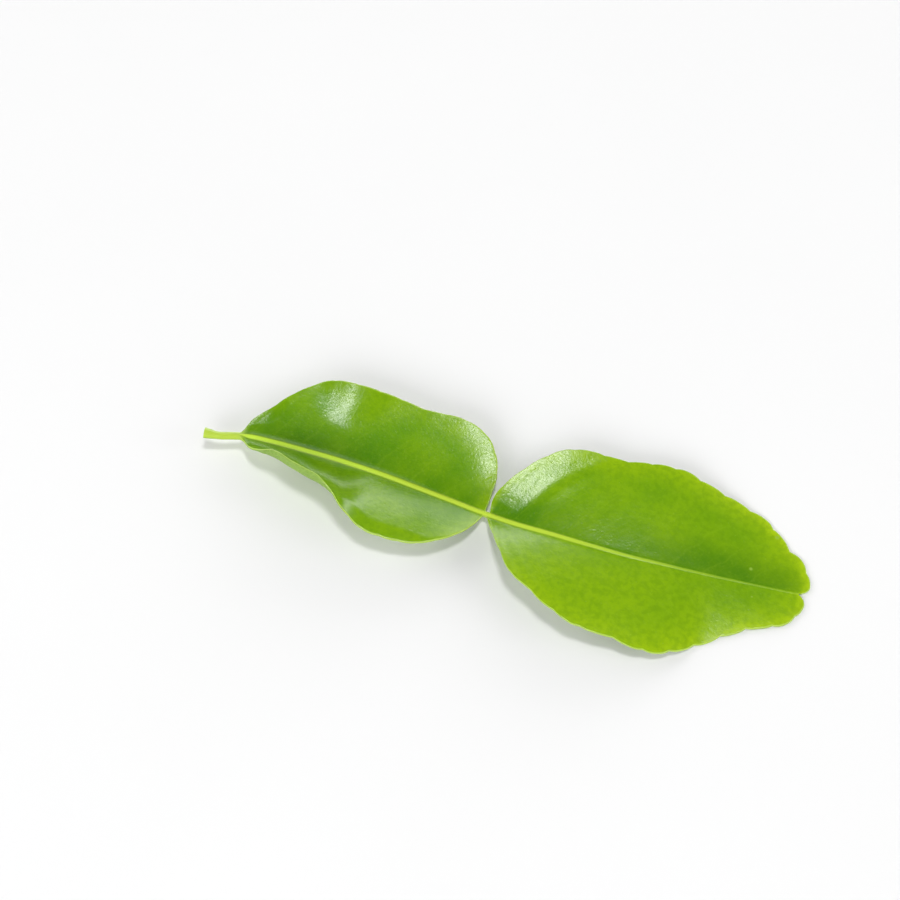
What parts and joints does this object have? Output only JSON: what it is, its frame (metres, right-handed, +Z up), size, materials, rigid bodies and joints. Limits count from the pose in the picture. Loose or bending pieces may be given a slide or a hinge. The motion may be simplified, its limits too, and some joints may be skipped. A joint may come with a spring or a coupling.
{
  "type": "kaffir lime leaf",
  "caption": "Picked kaffir lime leaf lying face up: short stalk, winged petiole, narrow waist and a notched, finely toothed blade, gently folded along one midrib.",
  "frame": {"origin": "centre of the leaf's outline seen from above, at the height of the surface it lies on", "axes": "+X along the leaf from the cut stalk to the notched tip, +Z up out of the glossy upper face"},
  "size_m": [0.13, 0.0436, 0.0097],
  "materials": {
    "leaf": "gloss"
  },
  "bodies": {
    "root": {"leaf": "leaf"}
  },
  "joints": []
}
